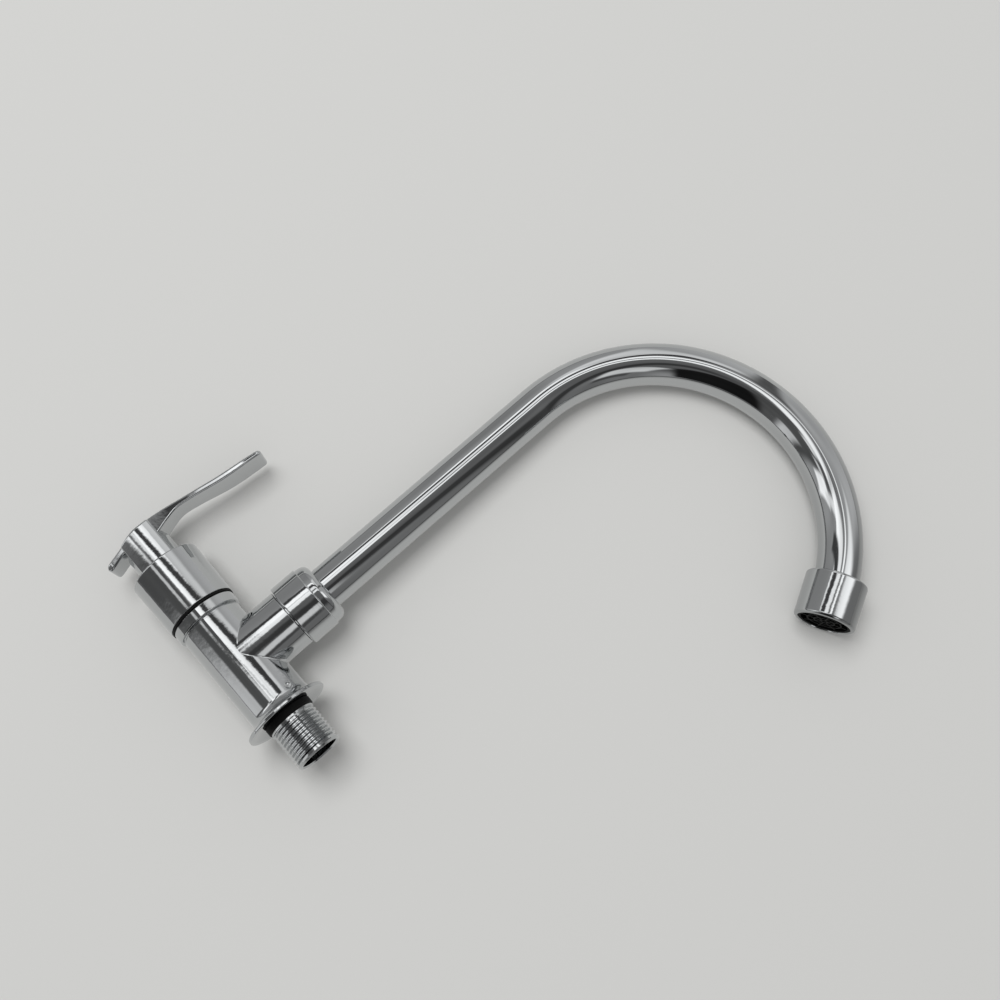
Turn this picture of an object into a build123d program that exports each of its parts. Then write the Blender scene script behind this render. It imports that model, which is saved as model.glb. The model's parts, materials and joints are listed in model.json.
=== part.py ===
from build123d import *
from math import cos, radians, sin, sqrt, tan
import os

# Wall-mounted cold water kitchen tap, in millimetres.
# The origin is the centre of the flange's wall face. +Y runs into the wall along the inlet,
# -Y comes out to the lever, +Z is up along the spout's riser.

# Inlet: a G 1/2 male thread, and the rubber washer at its root
thread_radius = 10.4775
thread_pitch = 1.814
thread_depth = 1.13
thread_crest_width = 0.3
thread_flank_angle = 27.5
thread_crest_relief = 0.02
thread_sink = 0.1
tip_land = 0.4
root_land = 0.8
root_land_gap = 0.2
thread_overrun = 0.2
inlet_length = 21.3
inlet_bore = 7.5
inlet_mouth = 8.6
inlet_mouth_depth = 13.0
inlet_mouth_lead = 1.1
inlet_chamfer = 0.75
washer_radius = 11.1
washer_thickness = 3.5
washer_recess_depth = 0.8
washer_clearance = 0.3
relief_radius = 9.2

# Wall flange
flange_radius = 19.0
flange_rim = 1.6
flange_flare = 4.2
flange_seat_width = 2.0
flange_dish_depth = 0.7
flange_back = 1.2

# Cast body: the barrel along the inlet axis, and the branch that carries the spout
barrel_radius = 13.8
branch_radius = 13.6
branch_offset = 30.9
body_length = 57.3
body_collar_radius = 14.9
body_collar_length = 5.0
body_groove_width = 1.2
body_groove_depth = 0.6
tee_fillet = 1.0
branch_height = 27.5
branch_bore = 8.5
branch_thread_radius = 12.4
branch_thread_length = 9.6
dimple_radius = 1.6
dimple_depth = 0.6
dimple_from_wall = 7.0
dimple_angle = 38.0

# Valve seat and the chamber behind it
seat_depth = 17.0
seat_thickness = 2.0
seat_hole = 6.0
seal_thickness = 2.0
chamber_clearance = 0.3

# Quarter-turn ceramic cartridge
cartridge_radius = 9.7
cartridge_thread_radius = 10.2
cartridge_thread_length = 9.5
cartridge_flange_radius = 12.0
cartridge_flange_length = 6.0
cartridge_recess_depth = 4.0
cartridge_washer_thickness = 0.9
neck_radius = 9.0
neck_length = 12.0
disc_radius = 7.3
disc_thickness = 3.0
disc_port_inner = 2.0
disc_port_outer = 6.2
disc_port_angle = 84.0
drive_slot_width = 3.2
drive_slot_depth = 1.4
window_start = 1.8
window_length = 8.5
window_angle = 70.0
stop_length = 3.0
stop_tab_angle = 40.0
stop_margin = 2.0
lever_travel = 90.0

# Spindle
driver_radius = 6.6
driver_thickness = 3.0
spindle_radius = 4.0
gland_radius = 5.6
gland_length = 13.0
gland_shoulder = 3.0
gland_ring_inset = 2.5
gland_ring_spacing = 5.0
ring_cord = 1.5
slip_washer_thickness = 0.5
drive_square = 5.6
drive_length = 21.5
drive_shoulder = 1.5
drive_chamfer = 0.4
drive_end_gap = 0.4
clip_thickness = 0.9
clip_radius = 5.4
clip_groove = 0.8

# Bonnet sleeve and its gasket ring
gasket_radius = 15.3
gasket_thickness = 1.1
sleeve_base_radius = 15.6
sleeve_end_radius = 16.05
sleeve_length = 26.2
sleeve_wall = 1.4
sleeve_end_wall = 2.4
sleeve_rim = 0.7
sleeve_web_start = 4.0
sleeve_web_length = 5.0

# Lever handle
boss_radius = 10.2
boss_clearance = 0.8
boss_entry = 3.0
boss_length = 12.4
hub_half_width = 8.1
hub_half_height = 10.3
hub_face_radius = 17.0
hub_crown_radius = 30.0
hub_slope = 0.34
hub_slope_start = 2.4
hub_edge = 0.8
hub_end_edge = 0.7
hub_gap = 0.6
hub_reach = 20.7
blade_reach = 63.9
blade_half_width = 7.9
blade_neck_half_width = 6.0
blade_lean = 8.5
blade_root_depth = 8.7
blade_neck_thickness = 3.8
blade_thickness = 3.0
blade_tip_thickness = 2.4
blade_edge = 0.8
blade_corner = 2.2
tail_reach = 18.2
tail_half_width = 6.3
tail_lean = 5.8
tail_thickness = 3.2
tail_corner = 4.0
socket_clearance = 0.05
screw_web = 2.4
screw_radius = 2.0
screw_head_radius = 3.6
screw_head_height = 2.4
screw_length = 11.0
plug_radius = 4.6
plug_depth = 2.2

# Spout nut and the two slip rings under it
nut_radius = 15.0
nut_length = 12.7
nut_gap = 0.4
nut_dome_radius = 14.4
nut_dome_top_radius = 13.8
nut_dome_length = 5.4
nut_dome_rounding = 3.4
slip_ring_thickness = 1.0
slip_gap = 0.05

# Spout: a gooseneck tube with a sealed collar at its foot
tube_radius = 9.5
braze_gap = 0.04
tube_wall = 1.0
bend_height = 169.9
bend_radius = 78.3
bend_angle = 153.7
tube_end_straight = 4.5
collar_shoulder_radius = 11.8
collar_shoulder_length = 2.0
collar_radius = 10.52
collar_length = 17.5
collar_clearance = 0.08
collar_foot_gap = 1.5
collar_bore = 7.0
tube_seat_length = 8.0
spout_ring_cord = 1.8
spout_ring_inset = 2.6
spout_ring_spacing = 4.2

# Outlet: a threaded bush on the tube, and the aerator that screws onto it
bush_radius = 10.9
bush_start = -0.5
bush_length = 6.0
bush_stop_bore = 8.4
shell_start = -6.8
shell_length = 20.2
shell_top_radius = 13.2
shell_mouth_radius = 13.0
shell_top_rounding = 1.0
shell_top_wall = 1.2
shell_top_clearance = 0.5
shell_mouth_rounding = 1.5
shell_mouth_opening = 11.35
shell_mouth_lead = 0.4
aerator_radius = 11.1
aerator_washer_thickness = 1.6
diffuser_thickness = 1.4
diffuser_hole_radius = 0.55
screen_count = 3
screen_thickness = 0.3
screen_spacing = 0.5
screen_hole_radius = 0.55
screen_hole_pitch = 1.9
core_recess = 0.5
core_wall = 1.1
grid_rings = 3
grid_spokes = 8
grid_depth = 2.2
grid_bar = 0.7

# Fits
running_clearance = 0.05
seated_gap = 0.03
thread_clearance = 0.05
loose_clearance = 0.2
face_gap = 0.02

# Stations along the inlet axis, counted from the wall face
washer_end = washer_thickness - washer_recess_depth
root_land_start = washer_end + root_land_gap
root_land_end = root_land_start + root_land
tip_land_end = inlet_length - inlet_chamfer
tip_land_start = tip_land_end - tip_land
seat_y = -(seat_depth + seat_thickness)
body_end = -body_length
recess_floor = body_end + cartridge_recess_depth
flange_start = recess_floor - cartridge_washer_thickness
flange_end = flange_start - cartridge_flange_length
neck_end = flange_end - neck_length
gasket_end = body_end - gasket_thickness
sleeve_end = gasket_end - sleeve_length
nose_y = seat_y - seal_thickness
fixed_disc_end = nose_y - disc_thickness
moving_disc_end = fixed_disc_end - face_gap - disc_thickness
driver_end = moving_disc_end - face_gap - driver_thickness
window_y = moving_disc_end - window_start
stop_y = window_y - window_length - face_gap
pocket_end = stop_y - stop_length
shoulder_y = flange_end + gland_shoulder
gland_end = shoulder_y + slip_washer_thickness + 2 * face_gap
gland_start = gland_end + gland_length
first_ring_y = gland_start - gland_ring_inset
second_ring_y = first_ring_y - gland_ring_spacing
clip_y = neck_end - face_gap
drive_start = clip_y - clip_thickness - drive_shoulder
spindle_end = drive_start - drive_length
hub_start = sleeve_end - hub_gap
hub_end = hub_start - hub_reach
web_y = spindle_end - drive_end_gap
screw_seat_y = web_y - screw_web
plug_floor_y = hub_end + plug_depth

# Fitting radii
chamber_radius = cartridge_radius + chamber_clearance
pocket_radius = disc_radius + loose_clearance
body_thread_radius = cartridge_thread_radius + thread_clearance
recess_radius = cartridge_flange_radius + loose_clearance
gland_bore = gland_radius + running_clearance
spindle_bore = spindle_radius + running_clearance

# Heights above the inlet axis, for what sits on the branch
thread_shoulder_z = branch_height
branch_top_z = branch_height + branch_thread_length
nut_z = branch_height + nut_gap
dome_z = nut_z + nut_length
nut_top_z = dome_z + nut_dome_length
lower_ring_end_z = branch_top_z + slip_ring_thickness
shoulder_z = lower_ring_end_z + slip_gap
shoulder_end_z = shoulder_z + collar_shoulder_length
upper_ring_z = shoulder_end_z + slip_gap
lip_z = upper_ring_z + slip_ring_thickness
collar_foot_z = shoulder_z - collar_length
tube_foot_z = shoulder_end_z - tube_seat_length
socket_radius = collar_radius + collar_clearance
socket_floor_z = collar_foot_z - collar_foot_gap
nut_thread_radius = branch_thread_radius + thread_clearance

# Outlet frame: its origin is the end of the bend, its Z axis the way the water leaves
bend_end_y = -branch_offset + bend_radius * (1 - cos(radians(bend_angle)))
bend_end_z = bend_height + bend_radius * sin(radians(bend_angle))
outlet_direction = (0, sin(radians(bend_angle)), cos(radians(bend_angle)))
outlet = Plane(origin=(0, bend_end_y, bend_end_z), x_dir=(1, 0, 0), z_dir=outlet_direction)
bush_end = bush_start + bush_length
mouth = shell_start + shell_length
washer_s = bush_end + seated_gap
diffuser_s = washer_s + aerator_washer_thickness + seated_gap
core_s = diffuser_s + diffuser_thickness + seated_gap
core_end = mouth - core_recess
grid_s = core_end - grid_depth


def outline(*corners):
    """Closed face through (radius, station) corners; a third number rounds that corner."""
    face = make_face(Polyline(*[corner[:2] for corner in corners], close=True))
    for corner in corners:
        if len(corner) == 3:
            point = face.vertices().sort_by_distance((corner[0], corner[1], 0))[0]
            face = fillet(point, corner[2])
    return face


def band(inner, outer, start, end):
    """The four corners of a plain ring's section."""
    return (inner, start), (outer, start), (outer, end), (inner, end)


def turned(*corners, arc=360.0):
    """Solid turned about the inlet axis, from (radius, y) corners."""
    return revolve(outline(*corners), Axis.Y, arc)


def on_branch(*corners):
    """Solid turned about the branch axis, from (radius, z) corners."""
    return Pos(0, -branch_offset, 0) * revolve(Plane.XZ * outline(*corners), Axis.Z)


def at_outlet(*corners):
    """Solid turned about the outlet axis, from (radius, distance past the bend) corners."""
    return outlet * revolve(Plane.XZ * outline(*corners), Axis.Z)


def sector(inner, outer, start, end, angle, middle):
    """Part of a ring about the inlet axis, its middle turned from +Z towards +X."""
    wedge = turned(*band(inner, outer, start, end), arc=angle)
    return Rot(0, middle - 90 - angle / 2, 0) * wedge


def ring_in_groove(floor, wall):
    """Cord radius and centre radius of a seal ring between a groove's floor and the wall."""
    cord = (wall - floor) / 2 - running_clearance
    return cord, (wall + floor) / 2


def inlet_thread():
    """Helical ridge of the inlet thread, sunk a little into its core."""
    root = thread_radius - thread_depth
    crest = thread_radius - thread_crest_relief
    crest_half = thread_crest_width / 2
    base_half = crest_half + (crest - root + thread_sink) * tan(radians(thread_flank_angle))
    start = root_land_end + thread_overrun
    length = tip_land_start - start - tip_land - 0.1
    section = Plane(origin=(0, 0, 0), x_dir=(1, 0, 0), z_dir=(0, -1, 0)) * make_face(
        Polyline(
            (root - thread_sink, -base_half),
            (crest, -crest_half),
            (crest, crest_half),
            (root - thread_sink, base_half),
            close=True,
        )
    )
    helix = Edge.make_helix(thread_pitch, length, root)
    ridge = sweep(section, path=helix, is_frenet=True)
    return Pos(0, start, 0) * Rot(-90, 0, 0) * ridge


def body_outside():
    """The casting's outside: inlet shank, flange, barrel and collar, and the branch."""
    root = thread_radius - thread_depth
    dish_radius = flange_radius - flange_seat_width
    groove_start = body_end + body_collar_length + body_groove_width
    barrel = turned(
        (0, inlet_length),
        (thread_radius - inlet_chamfer, inlet_length),
        (thread_radius, tip_land_end),
        (thread_radius, tip_land_start),
        (root, tip_land_start),
        (root, root_land_end),
        (thread_radius, root_land_end),
        (thread_radius, root_land_start),
        (relief_radius, root_land_start),
        (relief_radius, -washer_recess_depth),
        (washer_radius + washer_clearance, -washer_recess_depth),
        (washer_radius + washer_clearance, -flange_dish_depth),
        (dish_radius, 0),
        (flange_radius, 0, 0.4),
        (flange_radius, -flange_rim, 0.6),
        (barrel_radius, -flange_rim - flange_back, flange_flare),
        (barrel_radius, groove_start),
        (barrel_radius - body_groove_depth, groove_start, 0.3),
        (barrel_radius - body_groove_depth, groove_start - body_groove_width, 0.3),
        (body_collar_radius, groove_start - body_groove_width, 0.5),
        (body_collar_radius, body_end, 0.5),
        (0, body_end),
    )
    branch = on_branch(
        (0, 0),
        (branch_radius, 0),
        (branch_radius, thread_shoulder_z, 0.5),
        (0, thread_shoulder_z),
    )
    return barrel, branch


def body_casting():
    """One casting: it carries the thread, the valve seat, the cartridge and the spout."""
    barrel, branch = body_outside()
    body = barrel + branch
    crease = body.edges().filter_by(
        lambda edge: edge.geom_type not in (GeomType.LINE, GeomType.CIRCLE)
    )
    body = fillet(crease, tee_fillet)
    body += on_branch(
        (0, thread_shoulder_z - 2),
        (branch_thread_radius, thread_shoulder_z - 2),
        (branch_thread_radius, branch_top_z, 0.5),
        (0, branch_top_z),
    )
    body += inlet_thread()
    body -= turned(
        (0, inlet_length + 1),
        (inlet_mouth + 1.6, inlet_length + 1),
        (inlet_mouth, inlet_length - 0.6),
        (inlet_mouth, inlet_length - inlet_mouth_depth),
        (inlet_bore, inlet_length - inlet_mouth_depth - inlet_mouth_lead),
        (inlet_bore, -seat_depth),
        (seat_hole, -seat_depth),
        (seat_hole, seat_y),
        (chamber_radius, seat_y),
        (chamber_radius, recess_floor + cartridge_thread_length + 0.5),
        (body_thread_radius, recess_floor + cartridge_thread_length),
        (body_thread_radius, recess_floor),
        (recess_radius, recess_floor),
        (recess_radius, body_end + 0.4),
        (recess_radius + 0.4, body_end),
        (recess_radius + 0.4, body_end - 1),
        (0, body_end - 1),
    )
    body -= on_branch(
        (0, 0),
        (branch_bore, 0),
        (branch_bore, socket_floor_z - 1.5),
        (socket_radius, socket_floor_z),
        (socket_radius, branch_top_z - 0.6),
        (socket_radius + 0.6, branch_top_z),
        (socket_radius + 0.6, branch_top_z + 1),
        (0, branch_top_z + 1),
    )
    ball_radius = (dimple_radius ** 2 + dimple_depth ** 2) / (2 * dimple_depth)
    ball_out = barrel_radius - dimple_depth + ball_radius
    angle = radians(dimple_angle)
    body -= Pos(ball_out * cos(angle), -dimple_from_wall, ball_out * sin(angle)) * Sphere(ball_radius)
    return body


def inlet_washer():
    """Rubber washer that seals the flange to the wall elbow."""
    inner = relief_radius + seated_gap
    start = -washer_recess_depth + seated_gap
    return turned(
        (inner, start),
        (washer_radius, start, 0.5),
        (washer_radius, washer_end, 0.6),
        (inner, washer_end),
    )


def sleeve_gasket():
    """Black ring between the body's collar and the sleeve."""
    inner = recess_radius + 0.5
    return turned(
        (inner, body_end - seated_gap),
        (gasket_radius, body_end - seated_gap, 0.3),
        (gasket_radius, gasket_end, 0.3),
        (inner, gasket_end),
    )


def bonnet_sleeve():
    """Turned cap that screws onto the cartridge's neck and hides it."""
    start = gasket_end - seated_gap
    bore = sleeve_base_radius - sleeve_wall
    web = start - sleeve_web_start
    web_end = web - sleeve_web_length
    opening = sqrt(hub_half_width ** 2 + hub_half_height ** 2)
    opening = min(boss_radius + boss_clearance, opening)
    return turned(
        (bore, start),
        (sleeve_base_radius, start, 0.3),
        (sleeve_end_radius, sleeve_end, sleeve_rim),
        (opening, sleeve_end, 0.4),
        (opening, sleeve_end + sleeve_end_wall),
        (bore, sleeve_end + sleeve_end_wall),
        (bore, web_end),
        (neck_radius + thread_clearance, web_end),
        (neck_radius + thread_clearance, web),
        (bore, web),
    )


def cartridge_body():
    """Brass housing: nose and windows in the chamber, thread in the body, neck for the sleeve."""
    thread_start = recess_floor + cartridge_thread_length - 0.3
    body = turned(
        (pocket_radius, nose_y - seated_gap),
        (cartridge_radius, nose_y - seated_gap, 0.4),
        (cartridge_radius, thread_start),
        (cartridge_thread_radius, thread_start - 0.6),
        (cartridge_thread_radius, flange_start),
        (cartridge_flange_radius, flange_start, 0.4),
        (cartridge_flange_radius, flange_end, 0.5),
        (neck_radius, flange_end),
        (neck_radius, neck_end, 0.6),
        (spindle_bore, neck_end),
        (spindle_bore, shoulder_y),
        (gland_bore, shoulder_y),
        (gland_bore, pocket_end),
        (pocket_radius, pocket_end),
    )
    window = window_angle
    for middle in (0, 120, 240):
        body -= sector(
            pocket_radius - 1, cartridge_radius + 1, window_y, window_y - window_length, window, middle
        )
    block_angle = 360 - stop_tab_angle - lever_travel - 2 * stop_margin
    block_middle = 180 + lever_travel / 2
    body += sector(
        gland_bore + 0.2, pocket_radius + 0.5, stop_y, pocket_end - 0.5, block_angle, block_middle
    )
    return body


def cartridge_washer():
    """Flat washer under the cartridge's flange."""
    inner = cartridge_thread_radius + 0.25
    return turned(
        *band(inner, cartridge_flange_radius, recess_floor - seated_gap, flange_start + seated_gap)
    )


def seat_seal():
    """Rubber lip seal between the valve seat and the fixed disc."""
    return turned(
        (seat_hole + 0.3, seat_y - seated_gap),
        (cartridge_radius - 0.3, seat_y - seated_gap, 0.4),
        (cartridge_radius - 0.3, nose_y, 0.3),
        (seat_hole + 0.3, nose_y),
    )


def disc_ports(start, end):
    """The two opposite quarter windows through a ceramic disc, open at rest across Z."""
    first = sector(disc_port_inner, disc_port_outer, start, end, disc_port_angle, 90)
    second = sector(disc_port_inner, disc_port_outer, start, end, disc_port_angle, 270)
    return first + second


def lower_ceramic_disc():
    """Fixed disc, held by two keys in the nose of the cartridge."""
    start = nose_y - seated_gap
    disc = turned(*band(0, disc_radius, start, fixed_disc_end))
    return disc - disc_ports(start + 1, fixed_disc_end - 1)


def upper_ceramic_disc():
    """Moving disc. At rest it covers the fixed disc's windows; a quarter turn clears them."""
    start = fixed_disc_end - face_gap
    disc = turned(*band(0, disc_radius, start, moving_disc_end))
    disc -= Rot(0, 90, 0) * disc_ports(start + 1, moving_disc_end - 1)
    slot = Box(2 * disc_radius + 2, 2 * drive_slot_depth, drive_slot_width)
    return disc - Pos(0, moving_disc_end, 0) * Rot(0, 45, 0) * slot


def spindle():
    """Stem with the driver, the stop tab, two ring grooves, the clip groove and a square end."""
    start = moving_disc_end - face_gap
    groove = gland_radius - ring_cord
    half = ring_cord / 2 + 0.15
    clip_floor = spindle_radius - clip_groove
    stem = turned(
        (0, start),
        (driver_radius, start, 0.3),
        (driver_radius, driver_end, 0.3),
        (spindle_radius, driver_end, 0.6),
        (spindle_radius, gland_start),
        (gland_radius, gland_start, 0.3),
        (gland_radius, first_ring_y + half),
        (groove, first_ring_y + half),
        (groove, first_ring_y - half),
        (gland_radius, first_ring_y - half),
        (gland_radius, second_ring_y + half),
        (groove, second_ring_y + half),
        (groove, second_ring_y - half),
        (gland_radius, second_ring_y - half),
        (gland_radius, gland_end),
        (spindle_radius, gland_end),
        (spindle_radius, clip_y + 0.1),
        (clip_floor, clip_y + 0.1),
        (clip_floor, clip_y - clip_thickness - 0.1),
        (spindle_radius, clip_y - clip_thickness - 0.1),
        (spindle_radius, drive_start),
        (0, drive_start),
    )
    tab_start = stop_y - face_gap - 0.2
    stem += sector(
        spindle_radius - 0.5, pocket_radius - 0.2, tab_start, pocket_end + 0.2, stop_tab_angle, 0
    )
    square = Pos(0, (drive_start + spindle_end) / 2, 0) * Box(
        drive_square, drive_start - spindle_end, drive_square
    )
    square = chamfer(square.edges().filter_by(Axis.Y), drive_chamfer)
    stem += square
    tenon = Box(2 * driver_radius - 1, drive_slot_depth, drive_slot_width - 0.2)
    stem += Pos(0, start + drive_slot_depth / 2 - 0.1, 0) * Rot(0, 45, 0) * tenon
    hole_end = screw_seat_y + screw_length + 1.0
    stem -= turned(*band(0, screw_radius + seated_gap, spindle_end - 1, hole_end))
    return stem


def spindle_o_rings():
    """Two seal rings in the spindle's grooves."""
    cord, centre = ring_in_groove(gland_radius - ring_cord, gland_bore)
    ring = Rot(90, 0, 0) * Torus(centre, cord)
    return Compound([Pos(0, first_ring_y, 0) * ring, Pos(0, second_ring_y, 0) * ring])


def spindle_slip_washer():
    """Plastic washer that takes the spindle's thrust."""
    inner = spindle_radius + running_clearance
    start = gland_end - face_gap
    return turned(*band(inner, gland_radius, start, start - slip_washer_thickness))


def spindle_clip():
    """Open spring clip that keeps the spindle in the cartridge."""
    inner = spindle_radius - clip_groove + seated_gap
    clip = turned(*band(inner, clip_radius, clip_y, clip_y - clip_thickness))
    gap = Pos(0, clip_y - clip_thickness / 2, -clip_radius) * Box(3.6, clip_thickness + 1, 2 * clip_radius)
    return clip - gap


def bow_line(points, first_slope, last_slope):
    """Smooth line in the lever's side view; slopes are the rise of y per millimetre of z."""
    ends = [(0, first_slope, 1), (0, last_slope, 1)]
    return Spline(*[(0, hub_end + depth, z) for depth, z in points], tangents=ends)


def bow_side():
    """Side view of the bow: tail, cap over the hub and blade in one sweep."""
    tip = blade_reach - blade_tip_thickness / 2
    tail = -tail_reach + 0.4
    outer_points = [
        (tail_lean, tail),
        (0.57 * tail_lean, -hub_half_width - 0.6),
        (0.1, 0.2 * hub_half_width),
        (0.6, hub_half_width + 6.0),
        (2.9, hub_half_width + 18.5),
        (0.72 * blade_lean, 0.68 * blade_reach),
        (blade_lean, tip),
    ]
    inner_points = [
        (blade_root_depth, hub_half_width),
        (0.77 * blade_root_depth, hub_half_width + 6.0),
        (1.5 + blade_neck_thickness, hub_half_width + 12.5),
        (3.2 + blade_thickness, hub_half_width + 20.5),
        (0.74 * blade_lean + blade_thickness, 0.70 * blade_reach),
        (blade_lean + blade_tip_thickness, tip),
    ]
    outer = bow_line(outer_points, -0.27, 0.09)
    inner = bow_line(inner_points, -0.24, 0.05)
    tail_inner = tail_lean + tail_thickness
    tail_line = Polyline(
        inner @ 0,
        (0, hub_end + 0.73 * tail_inner, -hub_half_width),
        (0, hub_end + tail_inner, tail + 1.0),
    )
    tail_middle = (0, hub_end + tail_lean + 0.7 * tail_thickness, -tail_reach)
    tail_cap = ThreePointArc(tail_line @ 1, tail_middle, outer @ 0)
    tip_middle = (0, hub_end + blade_lean + blade_tip_thickness / 2, blade_reach)
    tip_cap = ThreePointArc(outer @ 1, tip_middle, inner @ 1)
    return make_face([outer, tip_cap, inner, tail_line, tail_cap])


def bow_front():
    """Front view of the bow: a paddle with rounded corners, a little wider at its tip."""
    right = Spline(
        (tail_half_width, -tail_reach - 1),
        (blade_neck_half_width + 0.8, -0.5 * hub_half_width),
        (blade_neck_half_width, hub_half_width + 11),
        (blade_half_width - 0.7, 0.62 * blade_reach),
        (blade_half_width, 0.85 * blade_reach),
        (blade_half_width - 0.3, blade_reach + 0.01),
    )
    left = mirror(right, Plane.YZ)
    face = make_face([right, Line(right @ 1, left @ 1), left, Line(left @ 0, right @ 0)])
    face = fillet(face.vertices().filter_by(lambda vertex: vertex.Y > 0), blade_corner)
    return fillet(face.vertices().filter_by(lambda vertex: vertex.Y < -tail_reach), tail_corner)


def bow():
    """The lever's blade and tail, with its outer edges rounded."""
    side = extrude(bow_side(), blade_half_width + 3, both=True)
    front = Pos(0, hub_end - 5, 0) * extrude(Plane.XZ * bow_front(), -30)
    blade = side & front
    outer_edges = blade.edges().filter_by(
        lambda edge: edge.geom_type != GeomType.LINE and edge.length > blade_reach
    )
    return fillet(outer_edges, blade_edge)


def hub_section():
    """The hub's section: two flats, and two gently curved faces."""
    sag = hub_face_radius - sqrt(hub_face_radius ** 2 - hub_half_width ** 2)
    corner = hub_half_height - sag
    near = ThreePointArc((corner, -hub_half_width), (hub_half_height, 0), (corner, hub_half_width))
    far = ThreePointArc((-corner, hub_half_width), (-hub_half_height, 0), (-corner, -hub_half_width))
    face = make_face([near, Line(near @ 1, far @ 0), far, Line(far @ 1, near @ 0)])
    return fillet(face.vertices(), hub_edge)


def hub():
    """The block under the bow: its outer end is crowned, and slopes away towards the tail."""
    reach = 3 * hub_half_width
    drop = (reach + hub_slope_start) * hub_slope
    block = Pos(0, hub_end - 1, 0) * extrude(Plane.XZ * hub_section(), -(hub_reach + 1))
    slope = make_face(
        Polyline(
            (0, hub_end, reach),
            (0, hub_end, hub_slope_start),
            (0, hub_end + drop, -reach),
            (0, hub_start + 1, -reach),
            (0, hub_start + 1, reach),
            close=True,
        )
    )
    block = block & extrude(slope, hub_half_height + 2, both=True)
    block = block & Pos(0, hub_end + hub_crown_radius, 0) * Cylinder(hub_crown_radius, 2 * reach)
    end_edges = block.edges().filter_by(lambda edge: edge.center().Y < hub_end + hub_reach / 4)
    return fillet(end_edges, hub_end_edge)


def lever_solid():
    """The lever's outside: the bow, the hub under it and the boss that enters the sleeve."""
    boss_start = hub_start + boss_entry
    boss = turned(
        (0, boss_start),
        (boss_radius, boss_start, 0.4),
        (boss_radius, boss_start - boss_length - boss_entry, 1.2),
        (0, boss_start - boss_length - boss_entry),
    )
    return bow() + hub() + boss


def lever_handle():
    """Zinc lever: square socket for the spindle, screw web and the plug's recess."""
    handle = lever_solid()
    side = drive_square + 2 * socket_clearance
    mouth_y = hub_start + boss_entry + 1
    handle -= Pos(0, (mouth_y + web_y) / 2, 0) * Box(side, mouth_y - web_y, side)
    handle -= turned(*band(0, screw_radius + 0.2, web_y + 1, screw_seat_y - 1))
    handle -= turned(*band(0, screw_head_radius + 0.3, screw_seat_y, plug_floor_y - 1))
    handle -= turned(*band(0, plug_radius + seated_gap, plug_floor_y, hub_end - 5))
    return handle


def handle_screw():
    """Pan head screw with a cross recess."""
    head_end = screw_seat_y - screw_head_height
    screw = turned(
        (0, screw_seat_y + screw_length),
        (screw_radius - 0.5, screw_seat_y + screw_length),
        (screw_radius, screw_seat_y + screw_length - 0.5),
        (screw_radius, screw_seat_y),
        (screw_head_radius, screw_seat_y),
        (screw_head_radius, head_end, 1.2),
        (0, head_end),
    )
    for angle in (0, 90):
        screw -= Pos(0, head_end, 0) * Rot(0, angle, 0) * Box(3.6, 2.4, 0.9)
    return screw


def index_plug():
    """Round cap over the screw, flush with the lever's outer face."""
    return lever_solid() & turned(*band(0, plug_radius, plug_floor_y - seated_gap, hub_end - 5))


def spout_nut():
    """Round nut that holds the spout's collar down on the branch."""
    return on_branch(
        (nut_thread_radius + 1.4, nut_z),
        (nut_radius, nut_z, 0.5),
        (nut_radius, dome_z, 0.4),
        (nut_dome_radius, dome_z),
        (nut_dome_top_radius, nut_top_z, nut_dome_rounding),
        (tube_radius + 0.9, nut_top_z),
        (tube_radius + 0.3, nut_top_z - 0.6),
        (tube_radius + 0.3, lip_z),
        (nut_thread_radius, lip_z),
        (nut_thread_radius, nut_z + 1.4),
    )


def slip_ring(start):
    """Split plastic ring that the spout's collar turns on."""
    ring = on_branch(
        *band(
            socket_radius + 0.7,
            branch_thread_radius - loose_clearance,
            start,
            start + slip_ring_thickness - face_gap,
        )
    )
    cut = Pos(0, -branch_offset - branch_thread_radius, start) * Box(0.8, 4, 4 * slip_ring_thickness)
    return ring - cut


def lower_slip_ring():
    """Slip ring on top of the branch."""
    return slip_ring(branch_top_z + face_gap)


def upper_slip_ring():
    """Slip ring under the nut's lip."""
    return slip_ring(upper_ring_z)


def spout_collar():
    """Brass collar brazed to the tube's foot, with two seal ring grooves."""
    groove = collar_radius - spout_ring_cord
    half = spout_ring_cord / 2 + 0.15
    first = collar_foot_z + spout_ring_inset
    second = first + spout_ring_spacing
    return on_branch(
        (collar_bore, collar_foot_z),
        (collar_radius, collar_foot_z, 0.5),
        (collar_radius, first - half),
        (groove, first - half),
        (groove, first + half),
        (collar_radius, first + half),
        (collar_radius, second - half),
        (groove, second - half),
        (groove, second + half),
        (collar_radius, second + half),
        (collar_radius, shoulder_z),
        (collar_shoulder_radius, shoulder_z),
        (collar_shoulder_radius, shoulder_end_z, 0.3),
        (tube_radius + seated_gap, shoulder_end_z),
        (tube_radius + seated_gap, tube_foot_z - seated_gap),
        (collar_bore, tube_foot_z - seated_gap),
    )


def spout_o_rings():
    """Two seal rings between the collar and the branch's socket."""
    cord, centre = ring_in_groove(collar_radius - spout_ring_cord, socket_radius)
    first = collar_foot_z + spout_ring_inset
    ring = Pos(0, -branch_offset, first) * Torus(centre, cord)
    return Compound([ring, Pos(0, 0, spout_ring_spacing) * ring])


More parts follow.
